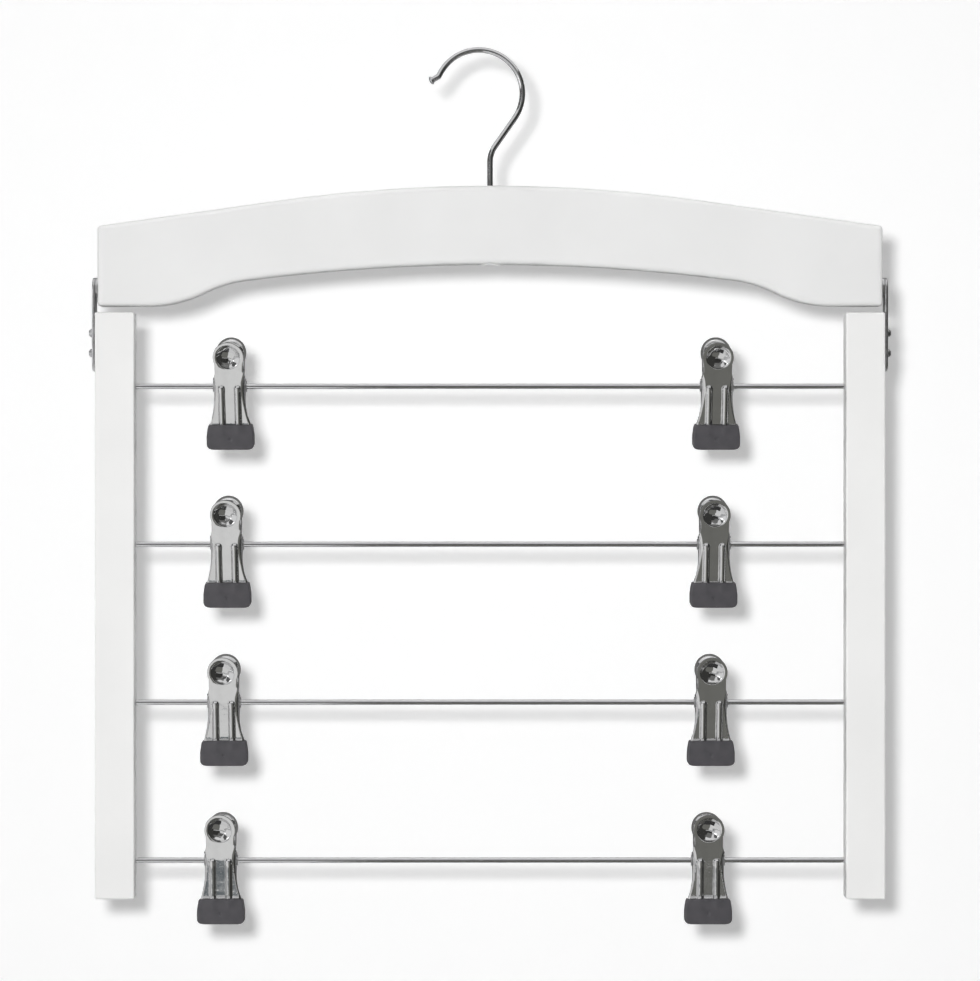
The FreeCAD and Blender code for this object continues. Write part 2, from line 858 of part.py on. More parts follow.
def sink_dish(body, side):
    """A round dish pressed into the thumb pad, with the sheet's thickness kept behind it."""
    ball = (size.dish_radius * size.dish_radius + size.dish_depth * size.dish_depth) / (2 * size.dish_depth)
    stand = ball - size.dish_depth
    shell = ball + size.jaw_sheet
    out = upper_plate(size.pad_rise) + stand * cosine(size.pad_slope)
    level = size.pad_rise - stand * sine(size.pad_slope)
    turn = -side * (90 + size.pad_slope)
    centre = 0, side * out, level
    rim = -arc_sine(stand / shell)
    primitive(body, "AdditiveSphere", centre, turn, Radius=shell, Angle1=-90, Angle2=rim)
    primitive(body, "SubtractiveSphere", centre, turn, Radius=ball)


def make_tip(label, side, jaw):
    """A soft sleeve over the end of a jaw: a rounded block, hollowed to the jaw's own shape."""
    body = new_body(f"{label}_block")
    front = new_sketch(body, "XZ_Plane")
    trace(front, tip_outline())
    pad(body, front, 4 * jaw_foot)
    inside = size.grip_gap / 2
    outside = jaw_foot + size.tip_wall
    slab = new_sketch(body, "YZ_Plane")
    reach = 2 * size.tip_end
    trace(slab, [LineTo(-reach, -reach), LineTo(reach, -reach), LineTo(reach, reach), LineTo(-reach, reach)])
    near, far = (-outside, -inside) if side < 0 else (inside, outside)
    trace(slab, [LineTo(near, -reach / 1.5), LineTo(far, -reach / 1.5), LineTo(far, 0), LineTo(near, 0)])
    pocket(body, slab, 2 * size.tip_width)
    rims = edges_where(body, lambda e: abs(abs(e.CenterOfMass.y) - outside.value) < 0.01)
    soften(body, rims, size.tip_wall * 0.7)
    dimple = 0, side * (outside + 0.3), -(size.tip_top + size.tip_end) / 2
    primitive(body, "SubtractiveSphere", dimple, 0, Radius=0.75)
    sleeve = doc.addObject("Part::Cut", label)
    sleeve.Label = label
    sleeve.Base = body
    sleeve.Tool = jaw
    doc.recompute()
    return sleeve


def tip_outline():
    """Front view of a tip, wider below, with rounded lower corners."""
    half = size.tip_width / 2
    top = half * 0.92
    corner = size.tip_corner
    return [
        LineTo(-top, -size.tip_top),
        LineTo(top, -size.tip_top),
        LineTo(half, corner - size.tip_end),
        ArcTo(half - corner, -size.tip_end, corner, "right"),
        LineTo(corner - half, -size.tip_end),
        ArcTo(-half, corner - size.tip_end, corner, "right"),
    ]


def rivet_outside():
    return size.rod_wire + 2 * size.running_fit + 2 * size.rivet_wall


def rear_shoulder():
    """The rear jaw's ears stand just inside the front jaw's ears."""
    return size.ear_face - size.jaw_sheet - size.face_fit


def make_rivet():
    """Hollow rivet that the rod runs through, with a rolled rim at each end."""
    body = new_body("rivet")
    half = new_sketch(body, "XZ_Plane")
    bore = size.rod_wire / 2 + size.running_fit
    tube = rivet_outside() / 2
    rim = tube + size.rivet_flange
    grip = size.ear_face + size.face_fit
    end = grip + size.rivet_wall
    trace(half, [
        LineTo(-end, bore), LineTo(end, bore), LineTo(end, rim), LineTo(grip, rim),
        LineTo(grip, tube), LineTo(-grip, tube), LineTo(-grip, rim), LineTo(-end, rim),
    ])
    revolve(body, half, "H_Axis")
    return body


def spring_leg_end():
    """Where a leg of the spring ends, just inside the sheet of a jaw: how far out and how high."""
    lean = cosine(size.pad_slope)
    inside = upper_plate(size.spring_reach) - size.jaw_sheet / lean
    room = (size.spring_wire / 2 + size.running_fit) / lean
    return (inside - room).value, size.spring_reach.value


def make_spring():
    """Torsion spring: a coil round the rivet and two straight legs that press the thumb pads apart."""
    wire = size.spring_wire.value
    pitch = wire + size.coil_gap.value
    radius = (rivet_outside() / 2 + size.spring_clearance + size.spring_wire / 2).value
    out, level = spring_leg_end()
    reach = math.hypot(out, level)
    leave = math.atan2(level, out) - math.acos(radius / reach)
    leg = math.sqrt(reach ** 2 - radius ** 2)
    start = math.pi - leave
    turns = 4.5 + leave / math.pi
    length = turns * pitch
    along_axis = FreeCAD.Rotation(
        FreeCAD.Vector(0, 1, 0), FreeCAD.Vector(0, 0, 1), FreeCAD.Vector(1, 0, 0), "XYZ"
    )
    spin = FreeCAD.Rotation(FreeCAD.Vector(1, 0, 0), math.degrees(start))
    coil = Part.makeHelix(pitch, length, radius)
    coil.Placement = FreeCAD.Placement(FreeCAD.Vector(-length / 2, 0, 0), spin.multiply(along_axis))
    rise = pitch / (2 * math.pi)
    legs = []
    for angle, x, way in ((start, -length / 2, -1), (start + turns * 2 * math.pi, length / 2, 1)):
        foot = FreeCAD.Vector(x, radius * math.cos(angle), radius * math.sin(angle))
        heading = FreeCAD.Vector(rise, -radius * math.sin(angle), radius * math.cos(angle)).normalize()
        legs.append((foot, foot + heading * way * leg, heading))
    first = Part.makeLine(legs[0][1], legs[0][0])
    last = Part.makeLine(legs[1][0], legs[1][1])
    path = Part.Wire([first] + coil.Edges + [last])
    section = Part.Wire([Part.makeCircle(wire / 2, legs[0][1], legs[0][2])])
    spring = doc.addObject("Part::Feature", "spring")
    spring.Label = "spring"
    spring.Shape = path.makePipeShell([section], True, False)
    return spring


def make_clips():
    """Two clips on every rod; the pieces of one clip are drawn once and linked into place."""
    patterns = {"rivet": make_rivet(), "spring": make_spring()}
    patterns["front_jaw"] = make_jaw("front_jaw", -1, size.ear_face)
    patterns["rear_jaw"] = make_jaw("rear_jaw", 1, rear_shoulder())
    patterns["front_tip"] = make_tip("front_tip", -1, patterns["front_jaw"])
    patterns["rear_tip"] = make_tip("rear_tip", 1, patterns["rear_jaw"])
    clips = []
    for tier in TIERS:
        lean = size.clip_lean - size.lean_step * tier
        places = {
            "left": size.clip_left - post_inside - size.clip_stagger * tier,
            "right": post_inside - size.clip_right - size.clip_stagger * tier,
        }
        for hand, across in places.items():
            for piece, pattern in patterns.items():
                label = f"clip_{tier + 1}_{hand}_{piece}"
                clips.append(linked(pattern, label, (across, 0, tier_level(tier)), lean))
    return clips


def build():
    pieces = [make_crossbar(), make_hook()]
    pieces += [make_post("left_post", -1), make_post("right_post", 1)]
    pieces += [make_rod(tier) for tier in TIERS]
    pieces += [make_strap("left_strap", -1), make_strap("right_strap", 1)]
    pieces += [fasteners_of_crossbar(), screws_of_straps()]
    pieces += make_clips()
    return pieces


def write(pieces):
    """Check every object and write one file for each piece."""
    doc.recompute()
    for thing in doc.Objects:
        if "Invalid" in thing.State or "Error" in thing.State:
            raise RuntimeError(f"{thing.Label} is not built: {thing.State}")
    os.makedirs("parts", exist_ok=True)
    for piece in pieces:
        shape = Part.getShape(piece)
        if shape.isNull() or not shape.isValid() or not shape.Solids:
            raise RuntimeError(f"{piece.Label} has no sound solid")
        shape.exportStep(f"parts/{piece.Label}.step")


write(build())
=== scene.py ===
import json
import math

import bmesh
import bpy
import numpy as np
from mathutils import Matrix, Vector


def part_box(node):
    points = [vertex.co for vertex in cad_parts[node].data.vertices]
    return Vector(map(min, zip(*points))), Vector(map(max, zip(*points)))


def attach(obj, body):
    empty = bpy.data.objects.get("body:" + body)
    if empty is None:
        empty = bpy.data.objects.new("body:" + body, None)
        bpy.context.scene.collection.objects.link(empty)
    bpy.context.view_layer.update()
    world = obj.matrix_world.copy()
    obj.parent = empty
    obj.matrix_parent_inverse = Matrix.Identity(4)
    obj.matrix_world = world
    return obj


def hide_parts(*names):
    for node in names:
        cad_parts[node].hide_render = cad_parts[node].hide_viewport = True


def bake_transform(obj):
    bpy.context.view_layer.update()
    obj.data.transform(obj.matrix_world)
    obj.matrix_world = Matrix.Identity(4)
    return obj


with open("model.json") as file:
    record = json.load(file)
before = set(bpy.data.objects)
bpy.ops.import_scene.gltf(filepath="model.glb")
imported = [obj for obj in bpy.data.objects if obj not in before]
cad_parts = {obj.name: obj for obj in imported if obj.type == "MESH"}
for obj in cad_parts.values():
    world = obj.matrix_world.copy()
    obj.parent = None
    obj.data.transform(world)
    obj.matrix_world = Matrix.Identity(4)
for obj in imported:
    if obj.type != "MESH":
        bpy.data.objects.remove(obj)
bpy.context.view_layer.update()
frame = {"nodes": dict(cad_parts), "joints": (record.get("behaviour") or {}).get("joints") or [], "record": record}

# Sizes of the clips are in millimetres; the scene is in metres.
MM = 0.001

# Camera, which looks straight at the front of the hanger
VIEW_WIDTH = 0.4486
VIEW_DISTANCE = 1.450
VIEW_HEIGHT = -0.2005
BAR_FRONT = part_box("crossbar")[0].y

# Soft tips: heights are from the rod's axis, distances out are from the plane between the jaws
TIP_TOP = -17.5
TIP_END = -29.1
TIP_HALF = 10.9
TIP_TOP_HALF = 9.9
TIP_SPREAD = 5.5
TIP_SPREAD_POWER = 0.65
TIP_CORNER = 2.5
TIP_WALL = 1.25
TIP_EDGE = 0.9
TIP_EDGE_LIMIT = 2.2
TIP_INNER_EDGE = 0.35
TIP_INNER_INSET = 0.6
TIP_CROWN = 0.16
GRIP_HALF = 0.1

# The tip's rounded ends: each row of the upper one is a drop below the top and an inset
TIP_LIP = ((0.0, 0.55), (0.06, 0.3), (0.22, 0.1), (0.5, 0.0))
TIP_FOOT_ROUND = 0.75
TIP_FOOT_STEPS = 5
TIP_ROW = 0.22
TIP_LAST_ROW = 0.9

# Where the tip is stretched over the ribs, its wavy upper lip, and the mark of the mould's gate
SWELL = 0.32
SWELL_WIDTH = 1.5
SWELL_LENGTH = 6.0
LIP_LENGTH = 1.2
LIP_RISE = 0.28
LIP_DROP = 0.12
GATE_LEVEL = -24.2
GATE_DEPTH = 0.5
GATE_SPREAD = 0.4

# Sheet of the jaws: it bends outwards just above the tip, and again above the rod
SHEET = 0.8
CUT_EDGE = 0.3
CUT_EDGE_STEPS = 3
CUT_EDGE_TURN = math.radians(60)
JAW_FOOT = GRIP_HALF + TIP_WALL + SHEET
TIP_OUT = JAW_FOOT + TIP_WALL
LOWER_SLOPE = math.radians(9)
LOWER_BEND_RISE = 0.6
LOWER_BEND_SOFT = 1.1
PAD_SLOPE = math.radians(16)
PAD_BEND = 2.0
PAD_BEND_SOFT = 2.0
PLATE_END = -27.0
HIDDEN_LEVEL = TIP_TOP - 1.0

# Outline of the jaws
FRONT_SHOULDER = 7.2
REAR_SHOULDER = 6.34
PAD_CENTRE = 14.25
PAD_RADIUS = 7.05
NECK_HALF = 6.45
NECK_LEVEL = 7.2
NECK_START = 3.6
WAIST = -5.5
FLARE_HALF = 9.2
FLARE_POWER = 1.7

# Folded sides and ears; the turns are in degrees
FOLD_TURN = 90
NECK_UNFOLD = 88
TIP_UNFOLD = 30
UNFOLD_START = 2.4
EDGE_BEND = 0.9
EAR_BEND = 1.9
EAR_BEND_LENGTH = 6.5
EAR_TOP = 4.7
EAR_FOOT = -10.5
EAR_BOSS = 2.9
EAR_TAPER = math.radians(20)
EAR_ROOM_ABOVE = 0.4
EAR_ROOM_BELOW = 1

# Pressed ribs
RIB_PLACE = 3.7
RIB_RADIUS = 1.6
RIB_HEIGHT = 1.0
RIB_SOFT = 0.14
RIB_CREST = -0.4
RIB_KNOB = 0.3
RIB_KNOB_LENGTH = 1.2

# Rows of the jaw's mesh, closest together at the top of the ribs
ROW = 0.3
FINE_ROW = 0.12
COARSE_ROW = 0.6
FINE_TOP = 1.8
FINE_END = -0.6
COARSE_TOP = -3.0

# Thumb dish, and the rings of points round it
DISH_CENTRE = 14.7
DISH_RADIUS = 5.5
DISH_DEPTH = 2.6
DISH_FADE = 1.1
DISH_MIDDLE = 0.1
RIM_SOFT = 0.22
LIP_SOFT = 0.4
RING_FIRST = 0.35
RING_ROOM = 0.45
RING_COUNT = 20
RING_POWER = 0.85
RING_SHARES = (0.25, 0.5, 0.75, 1.0)

# Unevenness of the dish: each wave has a rate across, a rate along and a start
WAVES = ((1.5, 0.8, 0.6), (-0.7, 1.4, 0.0))
WAVE_HEIGHT = 0.07
WAVE_FADE = 1.6

# Torsion springs
SPRING_WIRE = 1.1
SPRING_RADIUS = 2.6
SPRING_PITCH = 1.2
SPRING_TURNS = 4.5
TURN_STEPS = 28
LEG_OUT = 5.47
LEG_UP = 7.95
LEG_STEPS = 6

# Rounded ends of a wire: how far they bulge, and rings given as shares of that bulge and of the wire
END_BULGE = 0.35
END_RINGS = ((0.5, 0.87), (0.87, 0.5))

# Stage: the frame swings back by 0.29 m, and the wall stands behind that
WALL = 0.32
WALL_ROWS = (1.6, 0.2, -0.2)
FLOOR = -1.2
SWEEP = 0.22
SWEEP_STEPS = 12
BACKDROP_HALF = 3.4
PAPER_WHITE = 0.94
PAPER_GLOW = 0.235
WORLD_LIGHT = 0.2
WORLD_SEEN = 0.88
LAMP_TARGET = (0, 0, -0.2)
CARD_OVER_FLOOR = 0.02
CARD_OFF_WALL = 0.01


# Materials

class Finish:
    """A material in the making; textures lie in object space, and their values are passed on as sockets."""

    def __init__(self, name):
        self.material = bpy.data.materials.new(name)
        self.material.use_nodes = True
        self.nodes = self.material.node_tree.nodes
        self.links = self.material.node_tree.links
        self.shader = self.nodes["Principled BSDF"]
        self.place = self.nodes.new("ShaderNodeTexCoord")

    def noise(self, scale, detail, stretch=(1, 1, 1)):
        """A noise texture; scale counts features in a metre."""
        mapping = self.nodes.new("ShaderNodeMapping")
        mapping.inputs["Scale"].default_value = stretch
        self.links.new(self.place.outputs["Object"], mapping.inputs["Vector"])
        texture = self.nodes.new("ShaderNodeTexNoise")
        texture.inputs["Scale"].default_value = scale
        texture.inputs["Detail"].default_value = detail
        self.links.new(mapping.outputs["Vector"], texture.inputs["Vector"])
        return texture.outputs["Fac"]

    def ramp(self, value, *stops):
        """A ramp over a value; each of the two stops is a place and a colour or a grey."""
        node = self.nodes.new("ShaderNodeValToRGB")
        for element, (place, colour) in zip(node.color_ramp.elements, stops):
            element.position = place
            rgb = colour if isinstance(colour, tuple) else (colour,) * 3
            element.color = (*rgb, 1)
        self.links.new(value, node.inputs["Fac"])
        return node.outputs["Color"]

    def bump(self, height, strength, distance, under=None):
        """Bumps of a height in metres, on top of the bumps under them."""
        node = self.nodes.new("ShaderNodeBump")
        node.inputs["Strength"].default_value = strength
        node.inputs["Distance"].default_value = distance
        self.links.new(height, node.inputs["Height"])
        if under is not None:
            self.links.new(under, node.inputs["Normal"])
        return node.outputs["Normal"]

    def done(self, tone, gloss, skin, levels):
        """Send colour, roughness and bumps to the shader, and set its plain levels."""
        self.links.new(tone, self.shader.inputs["Base Color"])
        self.links.new(gloss, self.shader.inputs["Roughness"])
        self.links.new(skin, self.shader.inputs["Normal"])
        for socket, level in levels.items():
            self.shader.inputs[socket].default_value = level
        return self.material


SATIN = {"Specular IOR Level": 0.45}
METAL = {"Metallic": 1.0}


def drawn_out(axis, share):
    """Scales of a texture whose features are long along one axis."""
    return [share if axis == other else 1.0 for other in "xyz"]


def darker(colour, share):
    return tuple(share * c for c in colour)


def painted_wood(name, white, grain_along):
    """Satin white paint over planed wood: faint grain, a fine orange peel and a few dust nibs."""
    finish = Finish(name)
    grain = finish.noise(scale=420, detail=5, stretch=drawn_out(grain_along, 0.04))
    clouds = finish.noise(scale=26, detail=3)
    peel = finish.noise(scale=1500, detail=2)
    nibs = finish.noise(scale=240, detail=0)
    tone = finish.ramp(clouds, (0.3, darker(white, 0.963)), (0.7, white))
    gloss = finish.ramp(grain, (0.3, 0.34), (0.7, 0.44))
    specks = finish.ramp(nibs, (0.80, 0.0), (0.86, 1.0))
    skin = finish.bump(peel, strength=0.12, distance=0.00003)
    skin = finish.bump(grain, strength=0.18, distance=0.00006, under=skin)
    skin = finish.bump(specks, strength=0.3, distance=0.00008, under=skin)
    return finish.done(tone, gloss, skin, SATIN)


def bright_plating(name, tint, lines_along, rough, wave):
    """Chrome or nickel plate: a mirror with fine wiping marks, faint haze and the sheet's own waviness."""
    finish = Finish(name)
    haze = finish.noise(scale=160, detail=4)
    wipes = finish.noise(scale=2600, detail=2, stretch=drawn_out(lines_along, 0.06))
    swell = finish.noise(scale=260, detail=2)
    tone = finish.ramp(haze, (0.35, darker(tint, 0.93)), (0.65, tint))
    gloss = finish.ramp(haze, (0.35, rough), (0.75, rough * 2.2))
    skin = finish.bump(swell, strength=wave, distance=0.00012)
    skin = finish.bump(wipes, strength=0.04, distance=0.00001, under=skin)
    return finish.done(tone, gloss, skin, METAL)


def dull_steel(name, tint, rough):
    """Zinc-plated steel: rolled streaks and blotchy shine."""
    finish = Finish(name)
    streaks = finish.noise(scale=1900, detail=4, stretch=drawn_out("z", 0.08))
    blotch = finish.noise(scale=300, detail=4)
    tone = finish.ramp(blotch, (0.3, darker(tint, 0.6)), (0.7, tint))
    gloss = finish.ramp(streaks, (0.3, rough), (0.7, rough + 0.16))
    skin = finish.bump(streaks, strength=0.2, distance=0.00002)
    return finish.done(tone, gloss, skin, METAL)


def soft_plastic(name):
    """Charcoal soft plastic: satin, with a fine moulded grain and rubbed patches."""
    finish = Finish(name)
    grain = finish.noise(scale=2400, detail=3)
    rub = finish.noise(scale=210, detail=3)
    tone = finish.ramp(rub, (0.3, (0.065, 0.063, 0.069)), (0.7, (0.082, 0.079, 0.086)))
    gloss = finish.ramp(rub, (0.3, 0.36), (0.7, 0.5))
    skin = finish.bump(grain, strength=0.16, distance=0.00003)
    return finish.done(tone, gloss, skin, SATIN)


LOOKS = {
    "bar": painted_wood("white_paint_bar", (0.832, 0.833, 0.829), "x"),
    # The posts get the bar's paint made lighter: painted light, standing in for the brighter light that falls on
    # the posts.
    "post": painted_wood("white_paint_post_with_painted_light", (0.885, 0.884, 0.876), "z"),
    "hook": bright_plating("bright_wire_hook", (0.66, 0.66, 0.67), "z", rough=0.07, wave=0.0),
    "rod": bright_plating("bright_wire_rod", (0.74, 0.74, 0.75), "x", rough=0.05, wave=0.0),
    "clip": bright_plating("clip_chrome", (0.68, 0.68, 0.685), "z", rough=0.06, wave=0.5),
    "plated": dull_steel("plated_steel", (0.72, 0.72, 0.73), rough=0.26),
    "spring": dull_steel("spring_steel", (0.42, 0.42, 0.44), rough=0.22),
    "tip": soft_plastic("soft_tip"),
}


def dress(mesh, look):
    """Give a mesh its finish."""
    mesh.materials.clear()
    mesh.materials.append(LOOKS[look])


def dress_frame():
    """Give every CAD node its finish; those of jaws, tips and springs are replaced later."""
    for name, node in frame["nodes"].items():
        if name == "crossbar":
            dress(node.data, "bar")
        elif name.endswith("_post"):
            dress(node.data, "post")
        elif name == "hook":
            dress(node.data, "hook")
        elif name.startswith("rod_"):
            dress(node.data, "rod")
        else:
            dress(node.data, "plated")


# Meshes

def new_object(name, data):
    """An object in the scene."""
    made = bpy.data.objects.new(name, data)
    bpy.context.scene.collection.objects.link(made)
    return made


class Patch:
    """Points and faces that are collected from several grids and then joined where they meet."""

    def __init__(self):
        self.points = []
        self.faces = []

    def grid(self, rows, closed=False, flip=False):
        """A sheet of quads over rows of points; closed joins the ends of each row."""
        start = len(self.points)
        width = len(rows[0])
        for row in rows:
            self.points += [tuple(p) for p in row]
        for r in range(len(rows) - 1):
            for c in range(width if closed else width - 1):
                a = start + r * width + c
                b = start + r * width + (c + 1) % width
                quad = (a, b, b + width, a + width)
                self.faces.append(quad[::-1] if flip else quad)

    def fan(self, centre, row, flip=False):
        """Triangles from one point to a closed row."""
        start = len(self.points)
        self.points += [tuple(centre)] + [tuple(p) for p in row]
        count = len(row)
        for c in range(count):
            face = (start, start + 1 + c, start + 1 + (c + 1) % count)
            self.faces.append(face[::-1] if flip else face)

    def plain_mesh(self, name):
        """The points and faces as they are."""
        mesh = bpy.data.meshes.new(name)
        mesh.from_pydata(self.points, [], self.faces)
        return mesh

    def joined_mesh(self, name, weld=0.004):
        """The mesh in metres, with points joined that lie within weld millimetres."""
        mesh = self.plain_mesh(name)
        work = bmesh.new()
        work.from_mesh(mesh)
        bmesh.ops.remove_doubles(work, verts=work.verts, dist=weld)
        bmesh.ops.dissolve_degenerate(work, edges=work.edges, dist=weld / 4)
        bmesh.ops.recalc_face_normals(work, faces=work.faces)
        bmesh.ops.scale(work, vec=(MM, MM, MM), verts=work.verts)
        work.to_mesh(mesh)
        work.free()
        mesh.shade_smooth()
        return mesh


def middle(row):
    return tuple(sum(p[i] for p in row) / len(row) for i in range(3))


def scaled(point, factor):
    return point[0] * factor, point[1] * factor


def soft_step(t):
    """From nothing at zero to one at one, with flat ends."""
    t = min(max(t, 0.0), 1.0)
    return t * t * (3 - 2 * t)


def soft_ramp(t, soft):
    """Nothing below zero, t above it, rounded over a length of soft on both sides."""
    if t < -soft:
        return 0.0
    if t > soft:
        return t
    return (t + soft) ** 2 / (4 * soft)


def soft_top(value, soft):
    """The value where it is above zero, fading smoothly to nothing below."""
    return 0.5 * (value + math.sqrt(value * value + soft * soft))


# Jaws

def sheet_out(z):
    """How far the middle of a jaw's outer face stands out at a height."""
    lower = math.tan(LOWER_SLOPE) * soft_ramp(z - TIP_TOP - LOWER_BEND_RISE, LOWER_BEND_SOFT)
    steeper = math.tan(PAD_SLOPE) - math.tan(LOWER_SLOPE)
    return JAW_FOOT + lower + steeper * soft_ramp(z - PAD_BEND, PAD_BEND_SOFT)


def rib_rise(x, z):
    """Height of the two pressed ribs above the sheet."""
    past = max(z - RIB_CREST, 0.0)
    reach = math.hypot(abs(x) - RIB_PLACE, past)
    knob = RIB_KNOB * math.exp(-((z - RIB_CREST) / RIB_KNOB_LENGTH) ** 2)
    bulge = math.sqrt(max(RIB_RADIUS ** 2 - reach ** 2, 0.0)) - (RIB_RADIUS - RIB_HEIGHT) + knob
    far_off = RIB_HEIGHT - RIB_RADIUS + knob
    return max(soft_top(bulge, RIB_SOFT) - soft_top(far_off, RIB_SOFT), 0.0)


def half_width(z, shoulder):
    """Half of the jaw's outside width at a height below the pad."""
    if z > 0:
        return shoulder + (NECK_HALF - shoulder) * soft_step((z - NECK_START) / (NECK_LEVEL - NECK_START))
    flare = max((WAIST - z) / (WAIST - TIP_TOP), 0.0)
    return shoulder + (FLARE_HALF - shoulder) * min(flare, 1.0) ** FLARE_POWER


def side_turn(z):
    """Angle by which the sides of the sheet are folded back at a height."""
    if z > 0:
        unfold = NECK_UNFOLD * soft_step((z - UNFOLD_START) / (NECK_LEVEL - UNFOLD_START))
    else:
        unfold = TIP_UNFOLD * soft_step((EAR_FOOT - z) / (EAR_FOOT - TIP_TOP))
    return math.radians(FOLD_TURN - unfold)


def side_bend(z):
    """Radius of that fold: wide at the ears and tighter towards the tip and the pad."""
    return EDGE_BEND + (EAR_BEND - EDGE_BEND) * math.exp(-(z / EAR_BEND_LENGTH) ** 2)


def ear_inside(z):
    """How far in an ear reaches at a height: a boss round the rivet, tapering to the sheet both ways."""
    low_tangent = -EAR_BOSS * math.sin(EAR_TAPER)
    if z > EAR_BOSS:
        share = (z - EAR_BOSS) / (EAR_TOP - EAR_BOSS)
        return share * sheet_out(EAR_TOP)
    if z > low_tangent:
        return -math.sqrt(EAR_BOSS ** 2 - z ** 2)
    share = (z - low_tangent) / (EAR_FOOT - low_tangent)
    start = -EAR_BOSS * math.cos(EAR_TAPER)
    return start + share * (sheet_out(EAR_FOOT) - start)


def jaw_row(z, shoulder, flat_count=32, bend_count=8):
    """Points across the jaw at a height: flat middle with its ribs, and rounded folds at both sides."""
    turn = side_turn(z)
    radius = side_bend(z)
    flat = half_width(z, shoulder) - radius * math.sin(turn)
    out = sheet_out(z)
    half = []
    for step in range(flat_count + 1):
        x = flat * step / flat_count
        half.append((x, out + rib_rise(x, z), z))
    for step in range(1, bend_count + 1):
        angle = turn * step / bend_count
        x = flat + radius * math.sin(angle)
        half.append((x, out - radius * (1 - math.cos(angle)) + rib_rise(x, z) * math.cos(angle), z))
    return [(-x, o, z) for x, o, z in reversed(half[1:])] + half


def body_levels():
    """Heights of the rows below the pad, closer together where the ribs and ears are round."""
    upper = np.arange(NECK_LEVEL, FINE_TOP, -ROW)
    crest = np.arange(FINE_TOP, FINE_END, -FINE_ROW)
    lower = np.arange(FINE_END, COARSE_TOP, -ROW)
    rest = np.arange(COARSE_TOP, HIDDEN_LEVEL, -COARSE_ROW)
    return [*upper, *crest, *lower, *rest, HIDDEN_LEVEL, PLATE_END]


def ear_row(z, edge, depth_count=9):
    """Points along a folded side at a height, from the fold to the rim of the ear."""
    x, out, _ = edge
    turn = side_turn(z)
    depth = max(out - ear_inside(z), 0.0) if EAR_FOOT < z < EAR_TOP else 0.0
    across = math.copysign(math.cos(turn), x)
    return [
        (x + across * depth * k / depth_count, out - math.sin(turn) * depth * k / depth_count, z)
        for k in range(depth_count + 1)
    ]


def pad_loop(shoulder, side_count=8, arc_count=80):
    """The pad's outline: from the right end of the neck over the top to the left end, and back along it."""
    meet = PAD_CENTRE - math.sqrt(PAD_RADIUS ** 2 - NECK_HALF ** 2)
    first = math.asin((meet - PAD_CENTRE) / PAD_RADIUS)
    side = [(NECK_HALF, NECK_LEVEL + (meet - NECK_LEVEL) * k / side_count) for k in range(side_count)]
    arc = []
    for k in range(arc_count + 1):
        angle = first + (math.pi - 2 * first) * k / arc_count
        arc.append((PAD_RADIUS * math.cos(angle), PAD_CENTRE + PAD_RADIUS * math.sin(angle)))
    neck = [(x, z) for x, _, z in jaw_row(NECK_LEVEL, shoulder)]
    return side + arc + [(-x, z) for x, z in reversed(side)] + neck[1:-1]


def dish_sink(distance, soft):
    """Depth of the thumb dish at a distance from its middle, with a rounded rim."""
    ball = (DISH_RADIUS ** 2 + DISH_DEPTH ** 2) / (2 * DISH_DEPTH)
    inside = math.sqrt(max(ball ** 2 - distance ** 2, 0.0)) - (ball - DISH_DEPTH)
    return soft_top(inside, soft) * (1 - soft_step((distance - DISH_RADIUS) / DISH_FADE))


def dish_wave(x, along):
    """Slight unevenness of the metal that was drawn into the dish."""
    wave = WAVE_HEIGHT * soft_step((DISH_RADIUS - math.hypot(x, along)) / WAVE_FADE)
    for rate_across, rate_along, start in WAVES:
        wave *= math.sin(rate_across * x + rate_along * along + start)
    return wave


def pad_point(x, along):
    """A point of the pad, given in its slanting plane and sunk by the dish, whose lower lip is softer."""
    z = DISH_CENTRE + along * math.cos(PAD_SLOPE)
    distance = math.hypot(x, along)
    soft = RIM_SOFT + LIP_SOFT * max(-along, 0.0) / max(distance, DISH_MIDDLE)
    sink = dish_sink(distance, soft) + dish_wave(x, along)
    return (x, sheet_out(z) - sink * math.cos(PAD_SLOPE), z + sink * math.sin(PAD_SLOPE))


def add_pad(patch, shoulder):
    """Rings round the dish that grow from a circle to the pad's outline."""
    loop = [(x, (z - DISH_CENTRE) / math.cos(PAD_SLOPE)) for x, z in pad_loop(shoulder)]
    ring_limit = DISH_RADIUS + RING_ROOM
    rows = []
    for k in range(RING_COUNT + 1):
        radius = RING_FIRST + (ring_limit - RING_FIRST) * (k / RING_COUNT) ** RING_POWER
        rows.append([pad_point(*scaled(p, radius / math.hypot(*p))) for p in loop])
    for share in RING_SHARES:
        row = []
        for p in loop:
            reach = math.hypot(*p)
            row.append(pad_point(*scaled(p, (ring_limit + (reach - ring_limit) * share) / reach)))
        rows.append(row)
    patch.grid(rows, closed=True, flip=True)
    patch.fan(pad_point(0, 0), rows[0])


def jaw_mesh(name, shoulder, side):
    """One jaw of folded sheet; side -1 is the front jaw and 1 the rear one."""
    patch = Patch()
    levels = body_levels()
    rows = [jaw_row(z, shoulder) for z in levels]
    patch.grid(rows)
    lowest, highest = EAR_FOOT - EAR_ROOM_BELOW, EAR_TOP + EAR_ROOM_ABOVE
    ears = [(z, row) for z, row in zip(levels, rows) if lowest < z < highest]
    patch.grid([ear_row(z, row[-1]) for z, row in ears])
    patch.grid([ear_row(z, row[0]) for z, row in ears], flip=True)
    add_pad(patch, shoulder)
    patch.points = [(x, side * out, z) for x, out, z in patch.points]
    sheet = patch.joined_mesh(name + "_sheet")
    if sheet.polygons[0].normal.y * side < 0:
        sheet.flip_normals()
    return thicken(sheet, name)


